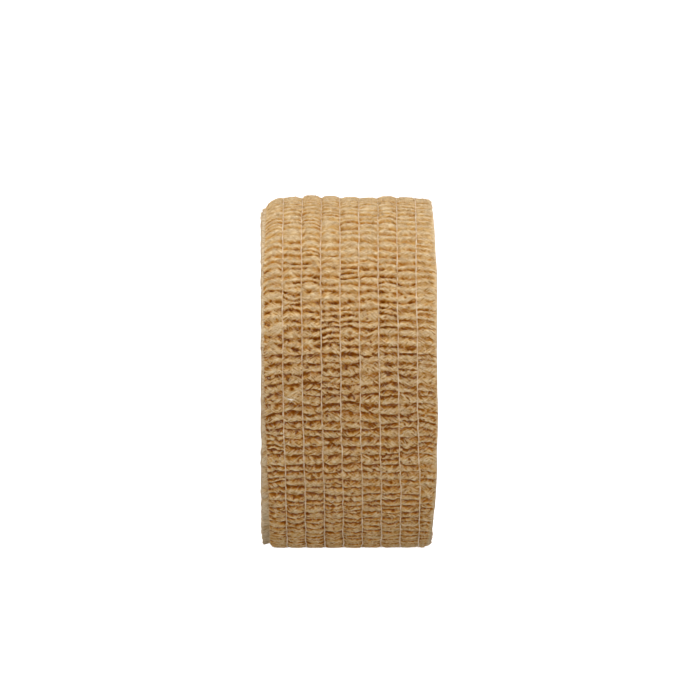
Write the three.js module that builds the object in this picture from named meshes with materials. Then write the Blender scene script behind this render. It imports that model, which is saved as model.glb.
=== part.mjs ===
// A cohesive bandage roll. One strip of crinkled nonwoven, 25 mm wide and coated with latex so that
// it grips itself, is wound on itself with no core. Eight elastic threads run along the strip and
// draw it in, so the outer turn stands up in nine ribs with a groove at each thread.
//
// Millimetres, +Z up. The winding axis lies along +X, and the origin is under it, where the roll
// rests. The front, towards -Y, is the side that shows. Angles run in degrees from the top of the
// roll, over the front and the bottom, to the back.

import * as THREE from 'three';

// The winding.
const END_RADIUS = 25.9; // out to the rib crests, at the strip's loose end
const LAYER = 0.55; // one gathered turn of the strip
const END_SLOPE = 0.9; // degrees in which the loose end steps down to the turn below
const EYE_RADIUS = 4.0; // the hole left by the spindle, at the loose end's angle
const EYE_OVAL = 0.15; // the eye is this much higher than round, and as much narrower
const EYE_RIM = 0.4; // rounding of the eye's two rims

// The rings of the surface, in degrees. The loose end lies on one of them, on the back, and the
// roll is pressed flat as far as the second ring to each side of the bottom.
const RING_STEP = 5;
const END_RING = 57;
const END_ANGLE = (END_RING + 0.5) * RING_STEP;
const REST_HALF_ANGLE = 1.5 * RING_STEP;
const RINGS = 360 / RING_STEP + 1;

// The strip, seen from the front: X across it.
const LEFT_EDGE = -12.1;
const FIRST_THREAD = -9.6;
const THREAD_PITCH = 2.72;
const THREADS = 8;
const GROOVE_DEPTH = 0.3;

// The turn under the outer one stands out at the left.
const UNDER_LEFT = -12.6;
const EDGE_ROUNDING = 0.25;

// How far in from each edge the outer turn droops.
const LEFT_DROOP_REACH = 2.3;
const RIGHT_DROOP_REACH = 0.7;

// The outer turn on its way round: its sideways drift, its right edge, and how far each of its
// edges hangs below the crests. Angles below 0 are the start of the outer turn on the back.
const OUTER_TURN = [
  { angle: -75, drift: -0.25, right: 11.75, leftDroop: 0.5, rightDroop: 0.3 },
  { angle: -30, drift: -0.1, right: 11.65, leftDroop: 0.8, rightDroop: 0.25 },
  { angle: 0, drift: 0.0, right: 11.65, leftDroop: 0.85, rightDroop: 0.15 },
  { angle: 35, drift: -0.02, right: 11.9, leftDroop: 0.7, rightDroop: 0.2 },
  { angle: 60, drift: -0.03, right: 12.2, leftDroop: 0.35, rightDroop: 0.25 },
  { angle: 85, drift: 0.1, right: 12.35, leftDroop: 0.25, rightDroop: 0.25 },
  { angle: 105, drift: 0.2, right: 12.45, leftDroop: 0.25, rightDroop: 0.25 },
  { angle: 130, drift: 0.48, right: 12.1, leftDroop: 0.25, rightDroop: 0.3 },
  { angle: 180, drift: 0.5, right: 11.95, leftDroop: 0.3, rightDroop: 0.35 },
  { angle: 240, drift: 0.47, right: 12.1, leftDroop: 0.3, rightDroop: 0.3 },
  { angle: 290, drift: 0.42, right: 12.2, leftDroop: 0.3, rightDroop: 0.3 },
];

// The nine ribs from the left: where across its width each one is highest, how much it stands above
// the mean at the top of the roll, and where across its width the surface has its points.
const RIBS = [
  { crest: 0.62, lift: -0.12, cuts: [0, 0.15, 0.35, 0.6, 0.82] },
  { crest: 0.5, lift: 0.0, cuts: [0, 0.2, 0.5, 0.8] },
  { crest: 0.45, lift: 0.14, cuts: [0, 0.2, 0.5, 0.8] },
  { crest: 0.42, lift: 0.06, cuts: [0, 0.2, 0.5, 0.8] },
  { crest: 0.58, lift: 0.0, cuts: [0, 0.2, 0.5, 0.8] },
  { crest: 0.5, lift: -0.04, cuts: [0, 0.2, 0.5, 0.8] },
  { crest: 0.42, lift: 0.08, cuts: [0, 0.2, 0.5, 0.8] },
  { crest: 0.42, lift: -0.06, cuts: [0, 0.2, 0.5, 0.8] },
  { crest: 0.74, lift: -0.1, cuts: [0, 0.25, 0.5, 0.74, 0.9, 1] },
];

// The two faces of the roll, where the turns' edges lie. Share runs from the eye to the outer turn.
const FACES = [
  { share: 0.0, left: -12.15, right: 11.9 },
  { share: 0.1, left: -12.3, right: 12.05 },
  { share: 0.24, left: -12.15, right: 12.0 },
  { share: 0.38, left: -12.3, right: 12.15 },
  { share: 0.52, left: -12.2, right: 12.05 },
  { share: 0.66, left: -12.35, right: 12.15 },
  { share: 0.8, left: -12.4, right: 12.0 },
  { share: 0.92, left: -12.5, right: 11.95 },
];

const radians = THREE.MathUtils.degToRad;

// A column of a table at an angle, on a smooth step between the rows on either side.
function along(table, column, angle) {
  const next = Math.max(1, table.findIndex((row) => row.angle > angle));
  const from = table[next - 1];
  const to = table[next];
  const share = THREE.MathUtils.smoothstep(angle, from.angle, to.angle);
  return THREE.MathUtils.lerp(from[column], to[column], share);
}

// The turns form a spiral, so every one is a little further out at each step towards the end.
function spiral(angle) {
  return (-LAYER * (END_ANGLE - angle)) / 360;
}

// Where the grooves lie across the strip at an angle, with its two edges first and last.
function grooves(angle) {
  const drift = along(OUTER_TURN, 'drift', angle);
  const lines = [LEFT_EDGE + drift];
  for (let thread = 0; thread < THREADS; thread += 1) {
    lines.push(FIRST_THREAD + thread * THREAD_PITCH + drift);
  }
  lines.push(along(OUTER_TURN, 'right', angle));
  return lines;
}

// The outer turn across its ribs, as points of radius and X.
function ribbedSurface(angle) {
  const lines = grooves(angle);
  const crests = END_RADIUS + spiral(angle);
  const unevenness = (1 + Math.cos(radians(angle))) / 2;
  const leftDroop = along(OUTER_TURN, 'leftDroop', angle);
  const rightDroop = along(OUTER_TURN, 'rightDroop', angle);
  const points = [];
  RIBS.forEach((rib, index) => {
    for (const cut of rib.cuts) {
      const across = THREE.MathUtils.lerp(lines[index], lines[index + 1], cut);
      const fromCrest = cut < rib.crest ? 1 - cut / rib.crest : (cut - rib.crest) / (1 - rib.crest);
      const fall = fromCrest ** 3;
      const nearLeft = Math.max(0, 1 - (across - lines[0]) / LEFT_DROOP_REACH);
      const nearRight = Math.max(0, 1 - (lines[lines.length - 1] - across) / RIGHT_DROOP_REACH);
      const droop = leftDroop * nearLeft ** 2 + rightDroop * nearRight ** 2;
      const radius = crests + rib.lift * unevenness * (1 - fall) - GROOVE_DEPTH * fall - droop;
      points.push(new THREE.Vector2(radius, across));
    }
  });
  return points;
}

// The whole section at an angle: the left face, the outer turn, the right face and the eye.
function section(angle) {
  const surface = ribbedSurface(angle);
  const left = surface[0];
  const right = surface[surface.length - 1];
  const eye = EYE_RADIUS + spiral(angle) + EYE_OVAL * Math.cos(radians(2 * angle));
  const under = left.x - LAYER + EDGE_ROUNDING;
  const foot = right.x - LAYER + EDGE_ROUNDING;
  const first = FACES[0];
  const points = [new THREE.Vector2(eye, first.left + EYE_RIM)];
  for (const { share, left: across } of FACES) {
    const start = eye + EYE_RIM;
    points.push(new THREE.Vector2(THREE.MathUtils.lerp(start, under, share), across));
  }
  points.push(
    new THREE.Vector2(under - EDGE_ROUNDING, UNDER_LEFT),
    new THREE.Vector2(under, UNDER_LEFT + 0.3 * EDGE_ROUNDING),
    new THREE.Vector2(under + 0.1, left.y - 0.2 * EDGE_ROUNDING),
    ...surface,
    new THREE.Vector2(foot, right.y + 0.1 * EDGE_ROUNDING),
    new THREE.Vector2(foot - EDGE_ROUNDING, right.y - EDGE_ROUNDING),
  );
  for (const { share, right: across } of FACES.toReversed()) {
    const start = eye + EYE_RIM;
    const end = foot - 2 * EDGE_ROUNDING;
    points.push(new THREE.Vector2(THREE.MathUtils.lerp(start, end, share), across));
  }
  points.push(new THREE.Vector2(eye, first.right - EYE_RIM));
  points.push(new THREE.Vector2(eye, 0));
  points.push(points[0].clone());
  return points;
}

// Rings stand evenly round the roll, and one more stands just past the loose end.
function ringAngle(ring) {
  if (ring <= END_RING) return (ring + 0.5) * RING_STEP;
  if (ring === END_RING + 1) return END_ANGLE + END_SLOPE;
  return (ring - 0.5) * RING_STEP;
}

// The axis stands so low that the crests at both edges of the flat spot reach the surface below.
const REST_START = 180 - REST_HALF_ANGLE;
const AXIS_HEIGHT = (END_RADIUS + spiral(REST_START)) * Math.cos(radians(REST_HALF_ANGLE));

// A lathe whose section changes from ring to ring, pressed flat where it rests.
function woundRoll() {
  const geometry = new THREE.LatheGeometry(section(ringAngle(0)), RINGS);
  const position = geometry.attributes.position;
  for (let ring = 0; ring <= RINGS; ring += 1) {
    const angle = ringAngle(ring % RINGS);
    const stripAngle = angle > END_ANGLE ? angle - 360 : angle;
    section(stripAngle).forEach((point, index, points) => {
      const down = Math.max(point.x * Math.cos(radians(angle)), -AXIS_HEIGHT);
      const front = point.x * Math.sin(radians(angle));
      position.setXYZ(ring * points.length + index, front, point.y, down);
    });
  }
  geometry.computeVertexNormals();
  return geometry;
}

const latexNonwoven = new THREE.MeshStandardMaterial({ color: 0xc9a068, roughness: 0.9, metalness: 0 });

const roll = new THREE.Mesh(woundRoll(), latexNonwoven);
roll.name = 'bandage_roll';
roll.rotation.z = -Math.PI / 2;
roll.position.z = AXIS_HEIGHT;

const bandage = new THREE.Group();
bandage.add(roll);

export default bandage;
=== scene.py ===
import math

import bmesh
import bpy
import numpy as np
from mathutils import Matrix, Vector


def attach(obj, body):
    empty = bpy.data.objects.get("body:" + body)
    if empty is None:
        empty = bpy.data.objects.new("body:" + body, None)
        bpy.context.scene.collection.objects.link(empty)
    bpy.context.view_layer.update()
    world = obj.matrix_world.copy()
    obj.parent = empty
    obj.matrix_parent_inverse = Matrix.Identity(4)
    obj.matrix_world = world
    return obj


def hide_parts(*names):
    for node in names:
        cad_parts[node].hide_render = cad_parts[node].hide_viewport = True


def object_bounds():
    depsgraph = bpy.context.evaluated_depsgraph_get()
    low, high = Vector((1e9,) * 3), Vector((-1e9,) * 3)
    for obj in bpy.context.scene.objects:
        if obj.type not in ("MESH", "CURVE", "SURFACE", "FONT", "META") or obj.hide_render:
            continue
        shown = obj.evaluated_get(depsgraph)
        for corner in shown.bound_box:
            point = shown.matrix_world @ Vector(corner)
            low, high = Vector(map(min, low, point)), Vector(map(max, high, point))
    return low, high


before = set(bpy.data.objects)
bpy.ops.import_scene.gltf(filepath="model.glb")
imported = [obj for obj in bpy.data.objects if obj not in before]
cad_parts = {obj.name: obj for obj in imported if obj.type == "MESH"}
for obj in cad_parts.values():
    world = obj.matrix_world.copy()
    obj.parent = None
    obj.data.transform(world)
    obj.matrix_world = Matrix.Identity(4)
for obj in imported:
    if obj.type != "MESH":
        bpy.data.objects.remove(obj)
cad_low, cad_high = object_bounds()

# Camera. It looks level and square on to the front of the roll, through a long lens from about a
# metre, and is aimed a little above the roll's axis.
CAMERA_DISTANCE = 0.95
PICTURE_WIDTH_AT_AXIS = 0.1018
AIM_ABOVE_AXIS = 0.00316
SENSOR_WIDTH = 36.0
ROLL_MIDDLE = (cad_low.z + cad_high.z) / 2

camera = bpy.data.objects.new("camera", bpy.data.cameras.new("camera"))
camera.data.sensor_width = SENSOR_WIDTH
camera.data.lens = SENSOR_WIDTH * CAMERA_DISTANCE / PICTURE_WIDTH_AT_AXIS
camera.data.clip_start = 0.05
camera.data.clip_end = 10.0
camera.location = (0.0, -CAMERA_DISTANCE, ROLL_MIDDLE + AIM_ABOVE_AXIS)
camera.rotation_euler = (math.radians(90), 0.0, 0.0)
bpy.context.scene.collection.objects.link(camera)
bpy.context.scene.camera = camera


# Inner turns. The strip is one length of gathered nonwoven, wound on a spindle that is then drawn
# out, so its thirty-nine inner turns show as the wavy cut edges on both faces, round an open eye.
# Sizes are in millimetres, and angles in degrees from the top of the roll over its front.
MILLIMETRE = 0.001
END_RADIUS = 25.9
LAYER = 0.55
TURNS = 40
END_ANGLE = 287.5
REST_HALF_ANGLE = 7.5
OVERLAP_ANGLE = 15.0
EYE_OVAL = 0.15


def crest_radius(angle):
    """How far out the ribs' crests stand once the strip has turned to an angle."""
    return END_RADIUS - LAYER * (END_ANGLE - angle) / 360


AXIS_HEIGHT = crest_radius(180 - REST_HALF_ANGLE) * math.cos(math.radians(REST_HALF_ANGLE))
strip_angles = np.linspace(END_ANGLE - 360 * TURNS, END_ANGLE, 360 * TURNS + 1)
ring_lengths = np.radians(1.0) * (crest_radius(strip_angles[1:]) - LAYER / 2)
strip_places = np.concatenate(([0.0], np.cumsum(ring_lengths)))
OUTER_ANGLE = END_ANGLE - 360 - OVERLAP_ANGLE
OUTER_START = np.interp(OUTER_ANGLE, strip_angles, strip_places)
OUTER_LENGTH = strip_places[-1] - OUTER_START


def wound(across, along, height):
    """Points of the strip in metres, from their places on it, with height above the crests' line."""
    angle = np.interp(along, strip_places, strip_angles)
    turn = np.radians(angle)
    radius = crest_radius(angle) + height
    up = np.maximum(AXIS_HEIGHT + radius * np.cos(turn), 0.0)
    return np.column_stack((across, -radius * np.sin(turn), up)) * MILLIMETRE


def eased(share):
    """A share from 0 to 1 that starts and ends gently."""
    return share * share * (3 - 2 * share)


def uneven(place, pitch, rng):
    """Smooth random values from -1 to 1 at places along a line, with a new one at each pitch."""
    knots = rng.uniform(-1, 1, int(np.max(place) / pitch) + 3)
    cell = np.floor(place / pitch).astype(int)
    share = eased(place / pitch - cell)
    return knots[cell] * (1 - share) + knots[cell + 1] * share


def patchy(first, second, pitch, rng):
    """Smooth random values from -1 to 1 over a plane, with a new one at each pitch both ways."""
    cells = [np.floor(place / pitch).astype(int) for place in (first, second)]
    shares = [eased(place / pitch - cell) for place, cell in zip((first, second), cells)]
    rows, columns = [cell - cell.min() for cell in cells]
    knots = rng.uniform(-1, 1, (rows.max() + 2, columns.max() + 2))
    near = knots[rows, columns] * (1 - shares[1]) + knots[rows, columns + 1] * shares[1]
    far = knots[rows + 1, columns] * (1 - shares[1]) + knots[rows + 1, columns + 1] * shares[1]
    return near * (1 - shares[0]) + far * shares[0]


def flat_strip(name, columns, steps):
    """A flat grid as a new piece, and each of its vertices' column and step. The first column lies on
    the last one, so that the strip's section closes once it is bent round."""
    made = bmesh.new()
    bmesh.ops.create_grid(made, x_segments=columns, y_segments=steps, size=1.0)
    mesh = bpy.data.meshes.new(name)
    made.to_mesh(mesh)
    made.free()
    piece = bpy.data.objects.new(name, mesh)
    bpy.context.scene.collection.objects.link(piece)
    flat = np.empty(len(mesh.vertices) * 3)
    mesh.vertices.foreach_get("co", flat)
    flat = flat.reshape(-1, 3)
    column = np.rint((flat[:, 0] + 1) / 2 * columns).astype(int) % columns
    step = np.rint((flat[:, 1] + 1) / 2 * steps).astype(int)
    return piece, column, step


def set_points(piece, across, along, height, furrow, edge, opened):
    """Winds a piece's vertices from their places on the strip, and keeps those places in its UV map,
    in millimetres. Attributes from 0 to 1 tell how much shade is painted on each one where the crinkles
    take its light, how near it is to a cut edge, and how far the web has opened between its fibres."""
    mesh = piece.data
    mesh.vertices.foreach_set("co", wound(across, along, height).ravel())
    corner = np.empty(len(mesh.loops), dtype=np.int32)
    mesh.loops.foreach_get("vertex_index", corner)
    layer = mesh.uv_layers.new(name="strip")
    layer.data.foreach_set("uv", np.column_stack((across, along))[corner].ravel())
    for name, values in (("furrow", furrow), ("edge", edge), ("opened", opened)):
        held = mesh.attributes.new(name, "FLOAT", "POINT")
        held.data.foreach_set("value", np.clip(values, 0, 1))


def close_strip(piece):
    """Welds the section where its first and last columns meet, and fills both ends of the strip."""
    made = bmesh.new()
    made.from_mesh(piece.data)
    for face in made.faces:
        face.smooth = True
    bmesh.ops.remove_doubles(made, verts=made.verts, dist=1e-7)
    open_edges = [edge for edge in made.edges if edge.is_boundary]
    ends = bmesh.ops.holes_fill(made, edges=open_edges, sides=0)["faces"]
    bmesh.ops.recalc_face_normals(made, faces=made.faces)
    for face in ends:
        face.smooth = False
    made.to_mesh(piece.data)
    made.free()


# How far out each turn's edges stand between the eye and the outside, as the turns slid while they
# were wound. Then, at angles round the roll: how far the outer turn drifts sideways, where its two
# edges stand, how far the turns below stand past their own left edge, how far the edges droop, how
# much the left margin rises again, how deep the threads' grooves are, how high the crinkles stand,
# how far the web has opened between its fibres, and how much shade is painted into its furrows.
FACES = {
    "share": [0.0, 0.1, 0.24, 0.38, 0.52, 0.66, 0.8, 0.92, 1.0],
    "left": [-12.15, -12.3, -12.15, -12.3, -12.2, -12.35, -12.42, -12.55, -12.67],
    "right": [11.9, 12.05, 12.0, 12.15, 12.05, 12.15, 12.0, 11.95, 11.85],
}
OUTER_TURN = {
    "angle": [-90, -75, -30, 0, 35, 60, 85, 105, 130, 175, 240, 290],
    "drift": [-0.3, -0.25, -0.1, 0.0, -0.02, -0.03, 0.1, 0.2, 0.48, 0.5, 0.47, 0.42],
    "left": [-12.4, -12.35, -12.2, -12.12, -12.18, -12.33, -12.2, -12.03, -11.68, -11.6, -11.63, -11.68],
    "right": [11.75, 11.75, 11.65, 11.58, 12.1, 12.4, 12.28, 12.43, 12.32, 11.42, 12.0, 12.2],
    "inner_left": [-0.2, -0.2, -0.3, -0.38, -0.22, -0.03, 0.03, 0.08, -0.05, -0.36, -0.2, -0.2],
    "left_droop": [0.5, 0.5, 0.8, 1.0, 0.7, 0.35, 0.25, 0.25, 0.25, 0.3, 0.3, 0.3],
    "right_droop": [0.3, 0.3, 0.25, 0.3, 0.2, 0.25, 0.25, 0.25, 0.45, 0.9, 0.3, 0.3],
    "margin_rise": [-0.2, -0.2, -0.2, -0.12, -0.12, 0.1, 0.27, 0.27, 0.27, 0.27, 0.2, 0.2],
    "groove": [1.0, 1.0, 1.0, 1.0, 1.0, 1.0, 1.0, 1.0, 1.0, 1.3, 1.0, 1.0],
    "relief": [0.9, 0.9, 0.8, 0.68, 0.88, 1.02, 1.08, 1.2, 1.4, 1.2, 1.2, 1.0],
    "opened": [0.9, 0.9, 0.5, 0.25, 0.3, 0.6, 0.9, 1.0, 0.95, 0.4, 0.9, 0.9],
    "shade": [1.6, 1.6, 1.6, 1.6, 1.75, 1.65, 1.7, 1.8, 1.9, 3.1, 1.8, 1.6],
}
EDGE_FALL = 0.3
DENTED_TURNS = 16
MARGIN = 2.3
LIP = 0.6
COVERED_LIP = 0.1
LIP_LIFT = 0.05
LIP_SINK = 0.1
MARGIN_SINK = 0.05
CORNER_ROUNDING = 0.3
HALF_LAYER = 0.276
HALF_WEB = 0.17
WEB_TIP = 0.12
THICKNESS_PITCH = 1.3
SHARED_CRIMP = 0.104
SHARED_CRIMP_PITCH = 0.8
OWN_CRIMP = 0.08
OWN_CRIMP_PITCH = 0.7
CRIMP_SHADE = 3.0
TURN_SLIP = 0.09
TURN_SLIP_PITCH = 70.0
EDGE_SLIP = 0.08
EDGE_SLIP_PITCH = 0.9
INNER_OPENED = 0.55
INNER_STEPS = 8200

rng = np.random.default_rng(11)
inner_turns, column, step = flat_strip("inner_turns", 12, INNER_STEPS)
along = np.linspace(0.0, OUTER_START, INNER_STEPS + 1)
angle = np.interp(along, strip_places, strip_angles)
turned = (angle + 75) % 360 - 75
depth_in_turns = (END_ANGLE - 360 - angle) / 360
share = np.clip(1 - depth_in_turns / (TURNS - 1), 0, 1)
left_edge = np.interp(share, FACES["share"], FACES["left"])
right_edge = np.interp(share, FACES["share"], FACES["right"])
left_edge += np.interp(turned, OUTER_TURN["angle"], OUTER_TURN["inner_left"])
for side in (left_edge, right_edge):
    side += TURN_SLIP * uneven(along, TURN_SLIP_PITCH, rng)
    side += EDGE_SLIP * uneven(along, EDGE_SLIP_PITCH, rng)

# The outermost of these turns is free beside the outer turn's left edge: there its lip reaches in
# under that edge, lies lower, and is rounded off at the top and the bottom of the roll.
droop = np.interp(turned, OUTER_TURN["angle"], OUTER_TURN["left_droop"])
fall = (EDGE_FALL + droop) * np.clip(1 - depth_in_turns / DENTED_TURNS, 0, 1)
free = eased(np.clip(2 - depth_in_turns, 0, 1))
margin_rise = np.interp(turned, OUTER_TURN["angle"], OUTER_TURN["margin_rise"])
lip_fall = fall + free * (droop - LIP_LIFT - fall)
tip_fall = fall + free * (droop - margin_rise - fall)
covered = np.interp(turned, OUTER_TURN["angle"], OUTER_TURN["left"]) + COVERED_LIP
lip = LIP + free * (np.maximum(LIP, covered - left_edge) - LIP)
left_edge += CORNER_ROUNDING * free * np.cos(np.radians(angle)) ** 4
oval = EYE_OVAL * np.cos(np.radians(2 * angle)) * (1 - share) ** 4

# The gathers crimp both cut edges. Neighbouring turns nest in each other's crimps, more or less.
front = crest_radius(angle) * np.sin(np.radians(angle))
up = crest_radius(angle) * np.cos(np.radians(angle))
left_crimp, right_crimp = [
    SHARED_CRIMP * patchy(front, up, SHARED_CRIMP_PITCH, rng)
    + OWN_CRIMP * uneven(along, OWN_CRIMP_PITCH, rng)
    for _ in range(2)
]
thin = HALF_WEB * (1 + 0.3 * uneven(along, THICKNESS_PITCH, rng))

# The web's section, column by column: how far across, how high from the web's middle, how near to a
# cut edge, and how much shade is painted on it. Behind their edges the turns stick together and fill
# their layer.
# Cut edges are paler than the web's faces, and palest on the free turn.
lip_rise = HALF_LAYER - (HALF_LAYER - HALF_WEB + LIP_SINK) * free
rim = 0.55 + 0.45 * free
inner_section = [
    (left_edge + WEB_TIP, thin - tip_fall + left_crimp, 0.55 - 0.15 * free, 0.0),
    (left_edge, left_crimp - tip_fall, rim, 0.04),
    (left_edge + WEB_TIP, left_crimp - tip_fall - thin, rim, 0.08),
    (left_edge + lip, -HALF_LAYER - lip_fall, 0.3 * free, 0.16),
    (left_edge + MARGIN, -HALF_LAYER, 0.0, 0.5),
    (right_edge - LIP, -HALF_LAYER, 0.0, 0.16),
    (right_edge - WEB_TIP, right_crimp - thin, rim, 0.08),
    (right_edge, right_crimp, rim, 0.08),
    (right_edge - WEB_TIP, thin + right_crimp, rim, 0.08),
    (right_edge - LIP, HALF_LAYER, 0.0, 0.16),
    (left_edge + MARGIN, HALF_LAYER - MARGIN_SINK * free, 0.0, 0.16 + 0.4 * free),
    (left_edge + lip, lip_rise - lip_fall + left_crimp, 0.1 * free, 0.16),
]
inner_web = np.array([np.broadcast_arrays(*row, along)[:4] for row in inner_section])
across, level, edge, furrow = inner_web[column, :, step].T
height = level + (oval - LAYER / 2)[step]
# Painted shade follows the crimps: darker where an edge dips, paler where it stands up.
furrow = furrow - CRIMP_SHADE * np.where(across < 0, left_crimp[step], right_crimp[step])
set_points(inner_turns, across, along[step], height, furrow, edge, np.full(len(edge), INNER_OPENED))
close_strip(inner_turns)


def linear(colour):
    """A colour written as sRGB hex, as linear red, green, blue and alpha."""
    levels = [int(colour[place : place + 2], 16) / 255 for place in (1, 3, 5)]
    return [v / 12.92 if v <= 0.04045 else ((v + 0.055) / 1.055) ** 2.4 for v in levels] + [1.0]


def add(tree, kind, inputs=None, **settings):
    """Adds a node with its settings. An input is a value, or another node's output to link."""
    made = tree.nodes.new(kind)
    for name, value in settings.items():
        setattr(made, name, value)
    for name, value in (inputs or {}).items():
        if isinstance(value, bpy.types.NodeSocket):
            tree.links.new(value, made.inputs[name])
        else:
            made.inputs[name].default_value = value
    return made


# Latex-coated nonwoven: a bonded web of crimped polyester fibres, dipped in tan latex. It is matt.
# Shade is painted into its colour: pale on its folds, and a deep orange brown where light is lost in
# the furrows. Real fibres are a tenth as thick as FIBRE_PITCH, and are drawn coarser so that they
# show in the render.
CREST_COLOUR = "#dec59d"
# The next three colours are painted shade, ever darker deeper into the furrows; the first of them is also
# the web's own colour where it has opened.
BODY_AND_HALF_SHADE_COLOUR = "#cca263"
FURROW_SHADE_COLOUR = "#b2742b"
DEEP_SHADE_COLOUR = "#7a3c02"
EDGE_COLOUR = "#d0b699"
FIBRE_COLOUR = "#e7d4b0"
GAP_COLOUR = "#8a5214"
FIBRE_PITCH = 0.2
FIBRE_LENGTH = 1.1
FIBRE_PATCH = 1.4
FIBRE_SLANTS = (0.95, -1.0)
FIBRE_RELIEF = 0.17
LATEX_RUN = 1.1
RUN_DEPTH = 0.34
RUN_SHIFT = -0.25
# How much further down the ramp of painted shade the colour lies where the web has opened.
OPENED_DEPTH = 0.26


def latex_with_painted_shade(tree, depth):
    """The latex's colour with shade painted on, from 0 on the crests to 1 deepest in the furrows."""
    ramp = add(tree, "ShaderNodeValToRGB", {"Fac": depth})
    ramp.color_ramp.elements[0].position = 0.05
    ramp.color_ramp.elements[0].color = linear(CREST_COLOUR)
    ramp.color_ramp.elements[1].position = 1.0
    ramp.color_ramp.elements[1].color = linear(DEEP_SHADE_COLOUR)
    ramp.color_ramp.elements.new(0.45).color = linear(BODY_AND_HALF_SHADE_COLOUR)
    ramp.color_ramp.elements.new(0.8).color = linear(FURROW_SHADE_COLOUR)
    return ramp.outputs["Color"]


def latex_nonwoven():
    """The strip's material. The UV map places its patterns on the strip, in millimetres."""
    material = bpy.data.materials.new("latex_nonwoven")
    material.use_nodes = True
    tree = material.node_tree
    tree.nodes.clear()
    uv = add(tree, "ShaderNodeUVMap", uv_map="strip").outputs["UV"]
    furrow = add(tree, "ShaderNodeAttribute", attribute_name="furrow").outputs["Fac"]
    edge = add(tree, "ShaderNodeAttribute", attribute_name="edge").outputs["Fac"]
    opened = add(tree, "ShaderNodeAttribute", attribute_name="opened").outputs["Fac"]

    # Shade is painted into the colour from the crests down into the furrows, and the colour varies
    # unevenly where the latex ran. It is paler at a cut edge, and darker where the web has opened: partly
    # the web's own colour, partly painted shade that keeps the roll's top paler than its front.
    run = add(tree, "ShaderNodeTexNoise", {"Vector": uv, "Scale": 1 / LATEX_RUN, "Detail": 3.0})
    ran = add(
        tree,
        "ShaderNodeMath",
        {0: run.outputs["Fac"], 1: RUN_DEPTH, 2: RUN_SHIFT},
        operation="MULTIPLY_ADD",
    )
    depth = add(tree, "ShaderNodeMath", {0: furrow, 1: ran.outputs[0]}, operation="ADD")
    bared = add(
        tree, "ShaderNodeMath", {0: opened, 1: OPENED_DEPTH, 2: depth.outputs[0]}, operation="MULTIPLY_ADD"
    )
    latex = latex_with_painted_shade(tree, bared.outputs[0])
    edged = add(tree, "ShaderNodeMix", {0: edge, 6: latex, 7: linear(EDGE_COLOUR)}, data_type="RGBA")

    # Fibres lie aslant in small patches, as short pale strokes with darker gaps between them.
    strokes = []
    for slant in FIBRE_SLANTS:
        laid = add(tree, "ShaderNodeMapping", {"Vector": uv, "Rotation": (0, 0, slant)})
        drawn = add(
            tree,
            "ShaderNodeMapping",
            {"Vector": laid.outputs[0], "Scale": (1 / FIBRE_PITCH, 1 / FIBRE_LENGTH, 1)},
        )
        noise = add(
            tree,
            "ShaderNodeTexNoise",
            {"Vector": drawn.outputs[0], "Scale": 1.0, "Detail": 1.0, "Distortion": 0.4},
        )
        strokes.append(noise.outputs["Fac"])
    patches = add(tree, "ShaderNodeTexNoise", {"Vector": uv, "Scale": 1 / FIBRE_PATCH, "Detail": 1.0})
    either = add(
        tree,
        "ShaderNodeMapRange",
        {"Value": patches.outputs["Fac"], "From Min": 0.42, "From Max": 0.58},
        interpolation_type="SMOOTHSTEP",
    )
    woven = add(
        tree,
        "ShaderNodeMix",
        {0: either.outputs[0], 2: strokes[0], 3: strokes[1]},
        data_type="FLOAT",
    )
    web = woven.outputs[0]
    fibres = add(
        tree,
        "ShaderNodeMapRange",
        {"Value": web, "From Min": 0.52, "From Max": 0.6, "To Min": 0.0, "To Max": 0.8},
    )
    gaps = add(
        tree,
        "ShaderNodeMapRange",
        {"Value": web, "From Min": 0.37, "From Max": 0.47, "To Min": 0.9, "To Max": 0.0},
    )
    gap = add(tree, "ShaderNodeMath", {0: gaps.outputs[0], 1: opened}, operation="MULTIPLY")
    gappy = add(
        tree,
        "ShaderNodeMix",
        {0: gap.outputs[0], 6: edged.outputs[2], 7: linear(GAP_COLOUR)},
        data_type="RGBA",
    )
    # The pale strokes fade where shade is painted deep into the furrows, and where the web is still bound.
    raised = add(
        tree,
        "ShaderNodeMath",
        {0: 1.0, 1: depth.outputs[0]},
        operation="SUBTRACT",
        use_clamp=True,
    )
    unbound = add(tree, "ShaderNodeMath", {0: opened, 1: 0.6, 2: 0.4}, operation="MULTIPLY_ADD")
    bare = add(
        tree,
        "ShaderNodeMath",
        {0: unbound.outputs[0], 1: raised.outputs[0]},
        operation="MULTIPLY",
    )
    lit = add(tree, "ShaderNodeMath", {0: fibres.outputs[0], 1: bare.outputs[0]}, operation="MULTIPLY")
    fibred = add(
        tree,
        "ShaderNodeMix",
        {0: lit.outputs[0], 6: gappy.outputs[2], 7: linear(FIBRE_COLOUR)},
        data_type="RGBA",
    )
    bump = add(
        tree,
        "ShaderNodeBump",
        {"Height": web, "Strength": 1.0, "Distance": FIBRE_RELIEF * MILLIMETRE},
    )
    shader = add(
        tree,
        "ShaderNodeBsdfPrincipled",
        {
            "Base Color": fibred.outputs[2],
            "Normal": bump.outputs[0],
            "Roughness": 0.95,
            "IOR": 1.45,
            "Specular IOR Level": 0.0,
        },
    )
    output = add(tree, "ShaderNodeOutputMaterial")
    tree.links.new(shader.outputs[0], output.inputs["Surface"])
    return material


nonwoven = latex_nonwoven()
inner_turns.data.materials.append(nonwoven)
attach(inner_turns, "root")
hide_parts("bandage_roll")


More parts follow.
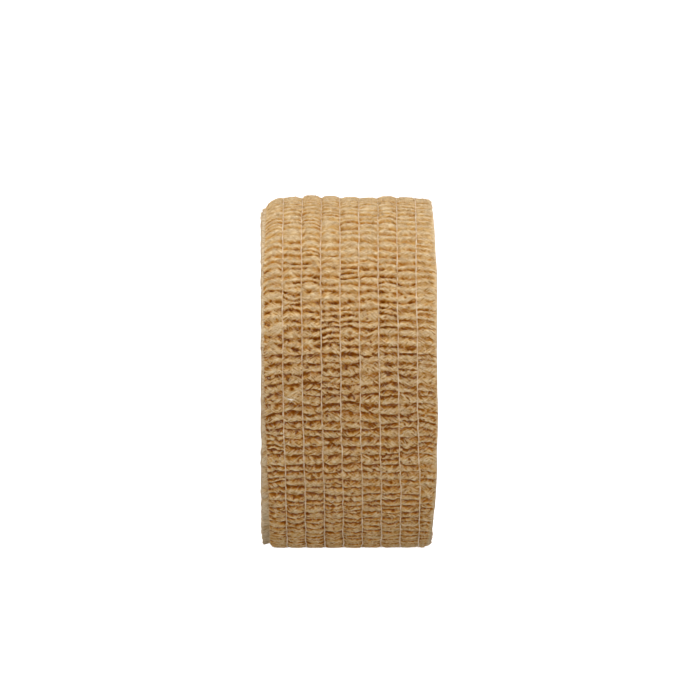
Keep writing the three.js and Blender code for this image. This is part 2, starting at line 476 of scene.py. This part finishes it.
# Outer turn. The last turn of the strip lies free, so its gathers stand up: eight elastic threads
# draw it into nine ribs, and each rib is crossed by rounded wrinkles with sharp furrows between.
# It is made in three lengths that meet face to face, to keep each piece's mesh within its limit.
FIRST_THREAD = -9.6
THREAD_PITCH = 2.72
GROOVE_DEPTH = 0.3
GROOVE_SWAY = 0.05
DEEPEST = 0.64
LOWEST_TOP = 0.13 - DEEPEST
DEEPEST_DROP = 0.7
LEFT_DROOP_REACH = 2.3
RIGHT_DROOP_REACH = 1.1
MARGIN_RIBS = 0.8
MARGIN_DEPTH = 0.25

# Where each rib's crest lies across it, from 0 to 1, and how high the ribs stand over the top of the
# roll and under it.
RIB_CRESTS = [0.62, 0.5, 0.45, 0.42, 0.58, 0.5, 0.42, 0.42, 0.74]
RIB_LIFTS = {
    "over": [-0.12, -0.02, 0.18, 0.12, 0.0, -0.1, 0.06, -0.1, -0.28],
    "under": [0.0, 0.0, 0.0, 0.0, -0.02, -0.12, -0.14, -0.15, -0.15],
}
RIB_CUTS = [0.0, 0.035, 0.08, 0.14, 0.22, 0.31, 0.4, 0.5, 0.6, 0.69, 0.78, 0.86, 0.92, 0.965]
RIBS = 9
WRINKLE_PITCH = 1.34
RIB_SHIFT = 0.18
FURROW_SHIFT = 0.11
PITS = 120
END_BEND = 0.4

# How far the furrows wander along the strip, and how unevenly the wrinkles stand. Beside a thread only
# some of their relief is left. Each second number is what is added where the web has fully opened.
WANDER = (0.04, 0.08)
JITTER = 0.04
UNEVEN_RELIEF = 0.32
HELD_REACH = 0.2
HELD_RELIEF = 0.45
HELD_LUMPS = 0.3
LUMPS = (0.02, 0.03)
SPECKS = 0.05
COMMON_GAP = 0.9
MOST_LUMPY_RELIEF = 1.2

# How pale the cut edges are, how far in that reaches, and how far out and down their rims lie.
EDGE_REACH = {"left": 0.12, "right": 0.3}
TOP_PALENESS = 0.6
RIM_PALENESS = 0.7
RIM = {"rim": (0.03, 0.14), "foot": (-0.05, 0.28)}
STEP = 0.1
LENGTHS = {
    "outer_turn_over_top": (OUTER_ANGLE, 10.0),
    "outer_turn_front": (10.0, 170.0),
    "outer_turn_back": (170.0, END_ANGLE),
}
STEPS = int(round(OUTER_LENGTH / STEP))
outer_places = np.linspace(0.0, OUTER_LENGTH, STEPS + 1)

rng = np.random.default_rng(23)
wrinkles = int(OUTER_LENGTH / WRINKLE_PITCH) + 8
shared_places = np.cumsum(rng.uniform(0.8, 1.2, wrinkles)) * WRINKLE_PITCH - 3 * WRINKLE_PITCH
offsets = rng.normal(0, RIB_SHIFT, (RIBS, wrinkles))


def gathered_furrows(rib):
    """The furrows across one rib. Most run on into the next rib, and some are missing or split. Those
    at the strip's edges bend down. Each furrow has its depths at both threads and between them, two
    slits, and a wrinkle beside it with its own shape. The pits are where the web has opened most."""
    middle = shared_places + offsets[rib]
    left = shared_places + (offsets[rib] + offsets[max(rib - 1, 0)]) / 2
    right = shared_places + (offsets[rib] + offsets[min(rib + 1, RIBS - 1)]) / 2
    if rib == 0:
        left = left + END_BEND
    if rib == RIBS - 1:
        right = right + END_BEND
    lines = np.array((left, middle, right)) + rng.normal(0, FURROW_SHIFT, (3, wrinkles))
    lines = lines[:, rng.random(wrinkles) > 0.01]
    gaps = np.diff(lines[1])
    split = (rng.random(len(gaps)) < 0.2) & (gaps > 1.4)
    between = lines[:, :-1] + gaps * rng.uniform(0.42, 0.58, len(gaps))
    between = between[:, split] + rng.normal(0, 0.15, (3, split.sum()))
    lines = np.concatenate((lines, between), axis=1)
    lines = lines[:, np.argsort(lines[1])]
    count = lines.shape[1]
    return {
        "lines": lines,
        "left": rng.uniform(0.2, 0.42, count),
        "middle": rng.uniform(0.12, 0.34, count),
        "right": rng.uniform(0.2, 0.42, count),
        "slits": rng.uniform((0.05, 0.5), (0.5, 0.95), (count, 2)).T,
        "slit_depth": rng.uniform(-0.1, 0.55, (2, count)).clip(0.0),
        "slit_reach": rng.uniform(0.22, 0.5, (2, count)),
        "slit_width": rng.uniform(0.14, 0.22, count),
        "skew": rng.uniform(0.85, 1.8, count),
        "power": rng.uniform(1.7, 2.7, count),
        "lean": rng.uniform(0.0, 0.28, count),
        "top": rng.uniform(-0.03, 0.09, count),
        "pits": np.array((
            np.cumsum(rng.uniform(0.5, 2.4, PITS)),
            rng.uniform(0.25, 0.75, PITS),
            rng.uniform(0.12, 0.23, PITS),
            rng.uniform(0.2, 0.75, PITS),
        )),
    }


def scattered(across_pitch, along_pitch):
    """Random values from -1 to 1 on a net over the outer turn, and the net's pitches."""
    rows = int(RIBS * THREAD_PITCH / across_pitch) + 3
    return rng.uniform(-1, 1, (rows, int(OUTER_LENGTH / along_pitch) + 4)), across_pitch, along_pitch


def smoothed(net, ribs, along):
    """Values of a net at so many ribs from the left edge, and at places along the outer turn."""
    values, across_pitch, along_pitch = net
    row = ribs * THREAD_PITCH / across_pitch
    place = np.clip(along / along_pitch, 0, values.shape[1] - 2)
    cell = np.floor(place).astype(int)
    share = eased(place - cell)
    low = int(row)
    lines = [values[r][cell] * (1 - share) + values[r][cell + 1] * share for r in (low, low + 1)]
    return lines[0] + (lines[1] - lines[0]) * eased(row - low)


# What makes the outer turn uneven, each on a net with its own pitches across and along the strip.
furrows = [gathered_furrows(rib) for rib in range(RIBS)]
wobble = scattered(THREAD_PITCH, 3.1)
meander = scattered(0.62, 1.1)
jitter = scattered(0.36, 0.5)
looseness = scattered(0.6, 0.8)
lumps = scattered(0.5, 0.4)
specks = scattered(0.25, 0.22)


def groove_line(number, along):
    """How far across a groove lies, or an edge of the strip where the number is 0 or 9."""
    angle = np.interp(along + OUTER_START, strip_places, strip_angles)
    aside = GROOVE_SWAY * smoothed(wobble, number, along)
    if number in (0, RIBS):
        return np.interp(angle, OUTER_TURN["angle"], OUTER_TURN["right" if number else "left"]) + aside
    drift = np.interp(angle, OUTER_TURN["angle"], OUTER_TURN["drift"])
    return FIRST_THREAD + (number - 1) * THREAD_PITCH + drift + aside


def gathered(rib, cut, along):
    """The strip's top at one cut across a rib, before it crinkles: how far across it is, its height,
    and how near it is to the strip's left and right edges, from 0 to 1."""
    angle = np.interp(along + OUTER_START, strip_places, strip_angles)
    left, right = groove_line(rib, along), groove_line(rib + 1, along)
    across = left + (right - left) * cut
    crest = RIB_CRESTS[rib]
    fall = (1 - cut / crest if cut < crest else (cut - crest) / (1 - crest)) ** 3
    upwards = (1 + np.cos(np.radians(angle))) / 2
    lift = RIB_LIFTS["over"][rib] * upwards + RIB_LIFTS["under"][rib] * (1 - upwards)
    groove = GROOVE_DEPTH * np.interp(angle, OUTER_TURN["angle"], OUTER_TURN["groove"])
    top = lift * (1 - fall) - groove * fall
    near_left = np.clip(1 - (across - groove_line(0, along)) / LEFT_DROOP_REACH, 0, 1)
    near_right = np.clip(1 - (groove_line(RIBS, along) - across) / RIGHT_DROOP_REACH, 0, 1)
    top = top - near_left**2 * np.interp(angle, OUTER_TURN["angle"], OUTER_TURN["left_droop"])
    top = top - near_right**2 * np.interp(angle, OUTER_TURN["angle"], OUTER_TURN["right_droop"])
    return across, top, near_left, near_right


def crinkled(rib, cut, along):
    """The strip's top at one cut across a rib: how far across it is, where along the strip it has
    leant to, and its height."""
    across, top, near_left, near_right = gathered(rib, cut, along)
    angle = np.interp(along + OUTER_START, strip_places, strip_angles)

    # Which furrow lies before each place, and how far it is from there to the next one.
    folds = furrows[rib]
    weights = ((1 - cut) * (1 - 2 * cut), 4 * cut * (1 - cut), cut * (2 * cut - 1))
    lines = np.maximum.accumulate(sum(weight * line for weight, line in zip(weights, folds["lines"])))
    opened = np.interp(angle, OUTER_TURN["angle"], OUTER_TURN["opened"])
    waver = (WANDER[0] + WANDER[1] * opened) * smoothed(meander, rib + cut, along)
    place = along + waver + JITTER * smoothed(jitter, rib + cut, along)
    found = np.clip(np.searchsorted(lines, place, side="right") - 1, 0, len(lines) - 2)
    gap = np.maximum(lines[found + 1] - lines[found], 0.3)
    share = np.clip((place - lines[found]) / gap, 0, 1) ** (1 + (folds["skew"][found] - 1) * opened)

    # The furrows' floors and the wrinkles between, which stand fuller where the web has opened. Close
    # to a thread both are held down.
    blends = (("left", (1 - cut) ** 2), ("middle", 2 * cut * (1 - cut)), ("right", cut**2))
    floors = sum(folds[place_in_rib] * blend for place_in_rib, blend in blends)
    floor = np.where(share < 0.5, floors[found], floors[found + 1]) * np.minimum(gap / COMMON_GAP, 1.1)
    round_swell = 0.5 - 0.5 * np.cos(2 * np.pi * share)
    full_swell = 1 - np.abs(2 * share - 1) ** folds["power"][found]
    swell = round_swell + (full_swell - round_swell) * opened
    relief = np.interp(angle, OUTER_TURN["angle"], OUTER_TURN["relief"])
    loose = relief * (1 + UNEVEN_RELIEF * smoothed(looseness, rib + cut, along))
    thread_gap = THREAD_PITCH * min(cut, 1 - cut)
    on_edge = (rib == 0 and cut < 0.5) or (rib == RIBS - 1 and cut > 0.5)
    held = 1.0 if on_edge else eased(min(thread_gap / HELD_REACH, 1.0))
    amount = loose * (HELD_RELIEF + (1 - HELD_RELIEF) * held)
    amount = amount * (1 - 0.3 * near_left) * (1 - 0.2 * near_right)
    rough = (LUMPS[0] + LUMPS[1] * opened) * smoothed(lumps, rib + cut, along)
    rough = rough + SPECKS * opened * smoothed(specks, rib + cut, along)
    drop = floor * (1 - swell) + folds["top"][found] * swell

    # Slits in the furrows, lumps on the wrinkles, and pits.
    aside = (cut - folds["slits"]) * THREAD_PITCH / folds["slit_reach"]
    slit = (folds["slit_depth"] * np.exp(-aside**2)).sum(axis=0)
    sharp = opened**1.5
    for near in (found, found + 1):
        away = ((place - lines[near]) / folds["slit_width"][near]) ** 2
        drop = drop + sharp * slit[near] * np.exp(-away)
    lumpy = np.minimum(relief, MOST_LUMPY_RELIEF) * (HELD_LUMPS + (1 - HELD_LUMPS) * held)
    drop = amount * drop - rough * lumpy
    for pit_along, pit_cut, radius, depth in folds["pits"].T:
        away = ((along - pit_along) ** 2 + ((cut - pit_cut) * THREAD_PITCH) ** 2) / radius**2
        drop = drop + opened**2 * depth * np.exp(-away)
    leant = folds["lean"][found] * swell * held * opened
    return across, along + leant, top - np.minimum(drop, DEEPEST_DROP)


# Section columns: the top from the left edge to the right one, the right rim, the underside, and
# the left rim. Each is a place in ribs from the left edge, and a layer of the web.
outer_section = [(rib + cut, "top") for rib in range(RIBS) for cut in RIB_CUTS]
outer_section += [(RIBS, "top"), (RIBS, "rim"), (RIBS, "foot"), (RIBS - 0.25, "under")]
outer_section += [(0.9, "under"), (0, "foot"), (0, "rim")]


# How much of the sky can be lost to either side, and over which of the next points that is sought.
SKY = {
    "along": {"weight": 0.36, "hops": (1, 2, 3, 4, 6, 8, 11)},
    "across": {"weight": 0.14, "hops": (1, 2, 3)},
}


def shaded(across, along, height):
    """How much of the sky each point of a relief loses to what stands beside it, from 0 to 1: it is
    painted into the web's colour as shade. The relief's columns run across the strip and its rows
    along it."""
    lost = np.zeros_like(height)
    for way, seen in SKY.items():
        turned = way == "across"
        place, level = (across.T, height.T) if turned else (along, height)
        sky = [np.zeros_like(level), np.zeros_like(level)]
        for hop in seen["hops"]:
            gap = np.maximum(place[:, hop:] - place[:, :-hop], 0.02)
            rise = level[:, hop:] - level[:, :-hop]
            sky[0][:, :-hop] = np.maximum(sky[0][:, :-hop], rise / gap)
            sky[1][:, hop:] = np.maximum(sky[1][:, hop:], -rise / gap)
        for slope in sky:
            hidden = seen["weight"] * slope / np.sqrt(1 + slope**2)
            lost += hidden.T if turned else hidden
    return lost


def web_section(lengths):
    """Across, along, height, furrow and edge for every column of the section, at lengths along it. The
    furrow column is the shade painted on it: from what the crinkles hide of the sky on the top, half on
    the underside, and none on the rims. The top stays over the turn below, but for the left margin,
    which droops with it."""
    tops = {}
    for place, layer in outer_section:
        if layer == "top":
            rib = min(int(place), RIBS - 1)
            tops[place] = crinkled(rib, place - rib, lengths)
    found = []
    for place, layer in outer_section:
        edge_top = tops[RIBS] if place > RIBS / 2 else tops[0.0]
        outwards = 1.0 if place > RIBS / 2 else -1.0
        level = np.zeros_like(lengths)
        if layer == "top":
            across, leant, height = tops[place]
            over_margin = np.clip(place / MARGIN_RIBS, 0, 1)
            least = (edge_top[2] - MARGIN_DEPTH) * (1 - over_margin) + LOWEST_TOP * over_margin
            height = np.maximum(height, least)
            edge_gap = min(place / EDGE_REACH["left"], (RIBS - place) / EDGE_REACH["right"])
            edge = TOP_PALENESS * max(0.0, 1 - edge_gap * THREAD_PITCH)
            found.append((across, leant, height, level, level + edge))
        elif layer == "under":
            left, right = groove_line(int(place), lengths), groove_line(int(place) + 1, lengths)
            across = left + (right - left) * (place % 1)
            found.append((across, lengths, level - DEEPEST, level + 0.5, level))
        else:
            out, down = RIM[layer]
            across, height = edge_top[0] + out * outwards, edge_top[2] - down
            found.append((across, lengths, height, level, level + RIM_PALENESS))
    found = np.array(found)
    over = len(tops)
    angle = np.interp(lengths + OUTER_START, strip_places, strip_angles)
    shade = np.interp(angle, OUTER_TURN["angle"], OUTER_TURN["shade"])
    # Painted shade: what the crinkles hide of the sky, more at some angles round the roll and most under
    # it, and none on a pale cut edge.
    found[:over, 3] = shade * shaded(*found[:over, :3].swapaxes(0, 1)) * (1 - found[:over, 4])
    return found


outer_web = web_section(outer_places)
for name, angles in LENGTHS.items():
    ends = np.interp(angles, strip_angles, strip_places) - OUTER_START
    first, last = np.rint(ends / OUTER_LENGTH * STEPS).astype(int)
    piece, column, step = flat_strip(name, len(outer_section), last - first)
    across, along, height, furrow, edge = outer_web[column, :, first + step].T
    angle = np.interp(along + OUTER_START, strip_places, strip_angles)
    opened = np.interp(angle, OUTER_TURN["angle"], OUTER_TURN["opened"])
    set_points(piece, across, along + OUTER_START, height, furrow, edge, opened)
    close_strip(piece)
    piece.data.materials.append(nonwoven)
    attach(piece, "root")


# Elastic threads. Eight spandex threads, bonded between the webs and left pale by the latex, run in
# the grooves of the outer turn from under its overlap to the cut end.
THREADS = 8
THREAD_RADIUS = 0.068
THREAD_SIDES = 6
THREAD_STEPS = 420
THREAD_HEIGHT = -0.25
THREAD_RISE = 0.13
THREAD_SWAY = 0.07
THREAD_SHADE = "#cca678"
THREAD_COLOUR = "#eddabd"

rng = np.random.default_rng(37)
thread_lengths = np.linspace(0.0, OUTER_LENGTH, THREAD_STEPS + 1)


def elastane():
    """Bare spandex: a pale yarn with a soft gloss, tanned here and there by the latex."""
    material = bpy.data.materials.new("elastane_thread")
    material.use_nodes = True
    tree = material.node_tree
    shader = tree.nodes["Principled BSDF"]
    uv = add(tree, "ShaderNodeUVMap", uv_map="strip").outputs["UV"]
    noise = add(tree, "ShaderNodeTexNoise", {"Vector": uv, "Scale": 1.4, "Detail": 3.0})
    ramp = add(tree, "ShaderNodeValToRGB", {"Fac": noise.outputs["Fac"]})
    ramp.color_ramp.elements[0].position = 0.35
    ramp.color_ramp.elements[0].color = linear(THREAD_SHADE)
    ramp.color_ramp.elements[1].position = 0.65
    ramp.color_ramp.elements[1].color = linear(THREAD_COLOUR)
    tree.links.new(ramp.outputs["Color"], shader.inputs["Base Color"])
    shader.inputs["Roughness"].default_value = 0.5
    shader.inputs["IOR"].default_value = 1.5
    return material


thread_material = elastane()
for number in range(1, THREADS + 1):
    thread, column, step = flat_strip(f"elastic_thread_{number}", THREAD_SIDES, THREAD_STEPS)
    around = 2 * math.pi * column / THREAD_SIDES
    level = THREAD_HEIGHT + THREAD_RISE * uneven(thread_lengths, 0.9, rng)
    aside = groove_line(number, thread_lengths) + THREAD_SWAY * uneven(thread_lengths, 1.0, rng)
    thickness = THREAD_RADIUS * (1 + 0.3 * uneven(thread_lengths, 0.6, rng))
    across = aside[step] - thickness[step] * np.cos(around)
    height = level[step] + thickness[step] * np.sin(around)
    along = thread_lengths[step] + OUTER_START
    none = np.zeros(len(across))
    set_points(thread, across, along, height, none, none, none)
    close_strip(thread)
    thread.data.materials.append(thread_material)
    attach(thread, "root")


# Loose fibres. The web's polyester fibres lie aslant in small patches, and many stand a little free
# of the latex, so the surface looks hairy and thin pale strands cross the furrows. They are drawn
# thicker than real ones, so that they show. A stray white one lies on the second rib. Fibres in the
# furrows take the web's painted shade, and a few of the palest carry painted glints.
MOST_FIBRES = 27000
FIBRE_REACH = (0.5, 1.3)
FIBRE_HALF_WIDTH = 0.05
FIBRE_HALF_THICKNESS = 0.03
FIBRE_BEND = 0.16
FIBRE_LEAN = (0.62, 0.24)
FIBRE_TAN = "#b58a50"
FIBRE_PALE = "#e8d5b0"
# The whitest tone: the stray white fibre, and painted glints on a few others.
FIBRE_WHITE_AND_GLINT = "#fff9ef"
TIP_SINK = 0.02
MOST_RISE = 0.2
STRAY_SHARE = 0.3
IN_FURROW = 0.85
WHITE_FIBRE = {"rib": 1.42, "angle": 98.3, "reach": 1.5, "lean": 0.1, "half_width": 0.12}

rng = np.random.default_rng(53)
top_places = np.array([place for place, layer in outer_section if layer == "top"])
leaning = scattered(1.1, 1.3)


def surface_at(ribs, places):
    """Across, along, height and furrow of the outer turn's top at places on it, as four rows."""
    column = np.interp(np.clip(ribs, 0, RIBS), top_places, np.arange(len(top_places)))
    step = np.clip(places / OUTER_LENGTH, 0, 1) * STEPS
    left = np.minimum(column.astype(int), len(top_places) - 2)
    first = np.minimum(step.astype(int), STEPS - 1)
    rows = []
    for field in range(4):
        values = outer_web[:, field, :]
        near = values[left, first] * (1 - step + first) + values[left, first + 1] * (step - first)
        far = values[left + 1, first] * (1 - step + first) + values[left + 1, first + 1] * (step - first)
        rows.append(near * (1 - column + left) + far * (column - left))
    rows[0] = rows[0] + 0.25 * THREAD_PITCH * (ribs - np.clip(ribs, 0, RIBS))
    return np.array(rows)


def scattered_value(net, ribs, places):
    """A net's values at single places, each with its own rib."""
    values, across_pitch, along_pitch = net
    row = np.clip(ribs * THREAD_PITCH / across_pitch, 0, values.shape[0] - 1).astype(int)
    cell = np.clip(places / along_pitch, 0, values.shape[1] - 1).astype(int)
    return values[row, cell]


def strand():
    """One fibre: a spindle of six faces, from -1 to 1 along Z."""
    made = bmesh.new()
    bmesh.ops.create_uvsphere(made, u_segments=3, v_segments=2, radius=1.0)
    points = np.array([vertex.co for vertex in made.verts])
    faces = np.array([[vertex.index for vertex in face.verts] for face in made.faces])
    made.free()
    return points, faces


points, faces = strand()
tries = 2 * MOST_FIBRES
tried = (rng.uniform(0.12, RIBS - 0.08, tries), rng.uniform(0.5, OUTER_LENGTH - 0.5, tries))
shown = rng.random(tries) > np.clip(surface_at(*tried)[3] * 1.2, 0, IN_FURROW)
ribs, places = [values[shown][:MOST_FIBRES] for values in tried]
count = len(ribs)
reach = rng.uniform(*FIBRE_REACH, count)
lean = np.sign(scattered_value(leaning, ribs, places)) * rng.normal(*FIBRE_LEAN, count)
lean = np.where(rng.random(count) < STRAY_SHARE, rng.uniform(-1.5, 1.5, count), lean)
half_width = np.full(count, FIBRE_HALF_WIDTH)
tone = rng.random(count) * 0.97
ribs[0] = WHITE_FIBRE["rib"]
places[0] = np.interp(WHITE_FIBRE["angle"], strip_angles, strip_places) - OUTER_START
reach[0] = WHITE_FIBRE["reach"]
lean[0] = WHITE_FIBRE["lean"]
half_width[0] = WHITE_FIBRE["half_width"]
tone[0] = 1.0

# A fibre's tips sink into the latex, and its middle is lifted clear of what lies between them.
run = np.array((np.cos(lean), np.sin(lean)))
beside = np.array((-run[1], run[0]))
sampled = []
for share in (-0.5, -0.25, 0.0, 0.25, 0.5):
    out, on = share * reach * run
    sampled.append(surface_at(ribs + out / THREAD_PITCH, places + on))
start, early, middle, late, end = sampled
start[2] -= TIP_SINK
end[2] -= TIP_SINK
clear = np.maximum(middle[2], np.maximum(2 * early[2] - start[2], 2 * late[2] - end[2]))
middle[2] = np.minimum(clear, middle[2] + MOST_RISE) + TIP_SINK
middle[:2] = (start[:2] + end[:2]) / 2 + FIBRE_BEND * rng.uniform(-1, 1, count) * beside

# Every strand's points: its two tips, and the ring round its middle.
laid = np.empty((count, len(points), 3))
for number, (aside, out, up) in enumerate(points):
    if abs(up) > 0.5:
        laid[:, number, :] = (end if up > 0 else start)[:3].T
    else:
        sideways = aside * half_width * beside
        laid[:, number, :2] = (middle[:2] + sideways).T
        laid[:, number, 2] = middle[2] + out * FIBRE_HALF_THICKNESS
laid = laid.reshape(-1, 3)
numbered = faces[None] + len(points) * np.arange(count)[:, None, None]
mesh = bpy.data.meshes.new("loose_fibres")
mesh.from_pydata(wound(laid[:, 0], laid[:, 1] + OUTER_START, laid[:, 2]), [], numbered.reshape(-1, 3))
fibre_angle = np.interp(places + OUTER_START, strip_places, strip_angles)
fibre_opened = np.interp(fibre_angle, OUTER_TURN["angle"], OUTER_TURN["opened"])
# Each fibre takes the painted shade of the web under its middle, but for the stray white one.
hidden = np.clip(middle[3], 0, 1) * (tone < 1)
for name, values in (("tone", tone), ("furrow", hidden), ("opened", fibre_opened)):
    held = mesh.attributes.new(name, "FLOAT", "POINT")
    held.data.foreach_set("value", np.repeat(values, len(points)))
loose_fibres = bpy.data.objects.new("loose_fibres", mesh)
bpy.context.scene.collection.objects.link(loose_fibres)


def polyester_fibre():
    """Crimped polyester staple, matt under more or less of the latex. In the furrows it takes the
    web's painted shade instead of its own tone.
    """
    material = bpy.data.materials.new("polyester_fibre")
    material.use_nodes = True
    tree = material.node_tree
    shader = tree.nodes["Principled BSDF"]
    tone = add(tree, "ShaderNodeAttribute", attribute_name="tone").outputs["Fac"]
    furrow = add(tree, "ShaderNodeAttribute", attribute_name="furrow").outputs["Fac"]
    # Tones differ at random; the top of the range whitens a few fibres as painted glints, and the stray
    # white fibre is whitest.
    ramp = add(tree, "ShaderNodeValToRGB", {"Fac": tone})
    ramp.color_ramp.elements[0].color = linear(FIBRE_TAN)
    ramp.color_ramp.elements[1].color = linear(FIBRE_WHITE_AND_GLINT)
    ramp.color_ramp.elements.new(0.95).color = linear(FIBRE_PALE)
    opened = add(tree, "ShaderNodeAttribute", attribute_name="opened").outputs["Fac"]
    unbound = add(tree, "ShaderNodeMath", {0: opened, 1: 0.85, 2: 0.15}, operation="MULTIPLY_ADD")
    # Deeper in painted shade a fibre shows less of its own tone and more of the shaded latex.
    bare = add(
        tree, "ShaderNodeMapRange", {"Value": furrow, "From Max": 0.75, "To Min": 0.95, "To Max": 0.2}
    )
    shown = add(tree, "ShaderNodeMath", {0: bare.outputs[0], 1: unbound.outputs[0]}, operation="MULTIPLY")
    mixed = add(
        tree,
        "ShaderNodeMix",
        {0: shown.outputs[0], 6: latex_with_painted_shade(tree, furrow), 7: ramp.outputs["Color"]},
        data_type="RGBA",
    )
    tree.links.new(mixed.outputs[2], shader.inputs["Base Color"])
    shader.inputs["Roughness"].default_value = 0.7
    shader.inputs["IOR"].default_value = 1.5
    shader.inputs["Specular IOR Level"].default_value = 0.0
    return material


loose_fibres.data.materials.append(polyester_fibre())
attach(loose_fibres, "root")


# Floor and light. The roll lies on a plain white table, with a soft lamp above it and another low in
# front. The table looks evenly lit, and its light on the roll comes from the surroundings instead:
# they are brightest a little below the horizon, and at both sides.
SURROUNDINGS = ((0.0, 0.02), (0.15, 0.02), (0.25, 0.1), (0.35, 1.2), (0.43, 1.1), (0.5, 0.38), (0.75, 0.2))
ABOVE = 0.2
AT_THE_SIDES = 1.2
BACKDROP = 1.5
LIGHTS = {
    "top_light": {"place": (0.0, -0.05, 0.56), "size": 0.25, "power": 2.25},
    "front_light": {"place": (0.1, -0.7, 0.03), "size": 0.35, "power": 1.4},
}

floor_mesh = bmesh.new()
bmesh.ops.create_grid(floor_mesh, x_segments=1, y_segments=1, size=3.0)
floor = bpy.data.objects.new("floor", bpy.data.meshes.new("floor"))
floor_mesh.to_mesh(floor.data)
floor_mesh.free()
bpy.context.scene.collection.objects.link(floor)
white_table = bpy.data.materials.new("white_table")
white_table.use_nodes = True
table_shader = white_table.node_tree.nodes["Principled BSDF"]
table_shader.inputs["Base Color"].default_value = linear("#f4f4f4")
table_shader.inputs["Roughness"].default_value = 0.9
table_shader.inputs["Emission Color"].default_value = linear("#ffffff")
table_shader.inputs["Emission Strength"].default_value = 1.0
floor.data.materials.append(white_table)
floor.visible_diffuse = False
floor.visible_shadow = False

world = bpy.data.worlds.new("studio")
bpy.context.scene.world = world
world.use_nodes = True
sky = world.node_tree
sky.nodes.clear()
direction = add(sky, "ShaderNodeTexCoord").outputs["Generated"]
parts = add(sky, "ShaderNodeSeparateXYZ", {0: direction})
height = add(sky, "ShaderNodeMath", {0: parts.outputs["Z"], 1: 0.5, 2: 0.5}, operation="MULTIPLY_ADD")
square = add(sky, "ShaderNodeMath", {0: parts.outputs["X"], 1: 2.0}, operation="POWER")
sideways = add(
    sky,
    "ShaderNodeMath",
    {0: square.outputs[0], 1: AT_THE_SIDES, 2: 1.0},
    operation="MULTIPLY_ADD",
)
level = add(sky, "ShaderNodeFloatCurve", {"Value": height.outputs[0]})
curve = level.mapping.curves[0]
curve.points[0].location = SURROUNDINGS[0]
curve.points[1].location = (1.0, ABOVE)
for place in SURROUNDINGS[1:]:
    curve.points.new(*place)
level.mapping.update()
seen = add(sky, "ShaderNodeLightPath").outputs["Is Camera Ray"]
lit = add(sky, "ShaderNodeMath", {0: level.outputs[0], 1: sideways.outputs[0]}, operation="MULTIPLY")
strength = add(sky, "ShaderNodeMix", {0: seen, 2: lit.outputs[0], 3: BACKDROP}, data_type="FLOAT")
background = add(sky, "ShaderNodeBackground", {"Color": linear("#ffffff"), "Strength": strength.outputs[0]})
world_output = add(sky, "ShaderNodeOutputWorld")
sky.links.new(background.outputs[0], world_output.inputs["Surface"])

for name, sizes in LIGHTS.items():
    lamp = bpy.data.lights.new(name, "AREA")
    lamp.size = sizes["size"]
    lamp.energy = sizes["power"]
    light = bpy.data.objects.new(name, lamp)
    light.location = sizes["place"]
    towards = np.array([0.0, 0.0, ROLL_MIDDLE]) - np.array(sizes["place"])
    tilt = math.atan2(math.hypot(towards[0], towards[1]), -towards[2])
    light.rotation_euler = (tilt, 0.0, math.atan2(-towards[0], towards[1]))
    bpy.context.scene.collection.objects.link(light)

bpy.context.scene.view_settings.view_transform = "Standard"
